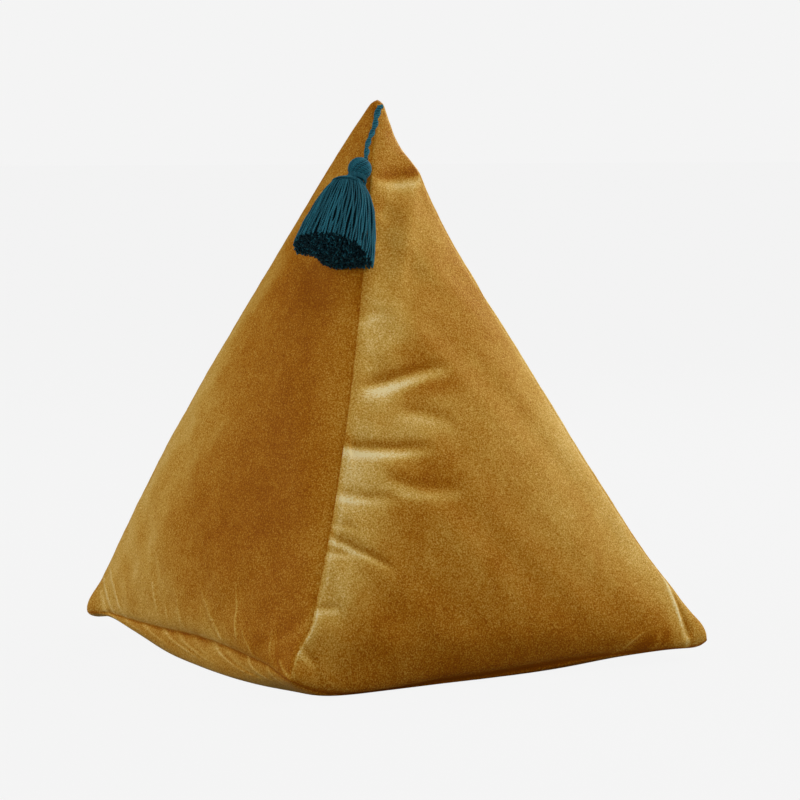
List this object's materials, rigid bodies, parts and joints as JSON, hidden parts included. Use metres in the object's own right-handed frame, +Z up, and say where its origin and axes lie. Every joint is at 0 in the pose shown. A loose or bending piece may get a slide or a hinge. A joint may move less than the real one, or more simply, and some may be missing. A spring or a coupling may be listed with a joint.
{
  "type": "pyramid throw pillow",
  "caption": "Filled pyramid throw pillow in velvet, with sewn triangular sides, a square base that it stands on, and a yarn tassel hung from its peak on a short twisted cord.",
  "frame": {"origin": "middle of the base, on the surface that the cushion stands on", "axes": "+Z up through the peak; -Y towards the broad front panel; -X towards the panel on its left, with the tassel over the seam between those two"},
  "size_m": [0.3558, 0.3595, 0.429],
  "materials": {
    "velvet": "cut velvet pile, soft sheen at grazing angles",
    "yarn": "matt twisted yarn"
  },
  "bodies": {
    "root": {"cushion": "velvet", "tassel": "yarn", "tassel_binding": "yarn", "hanging_cord": "yarn"}
  },
  "joints": []
}
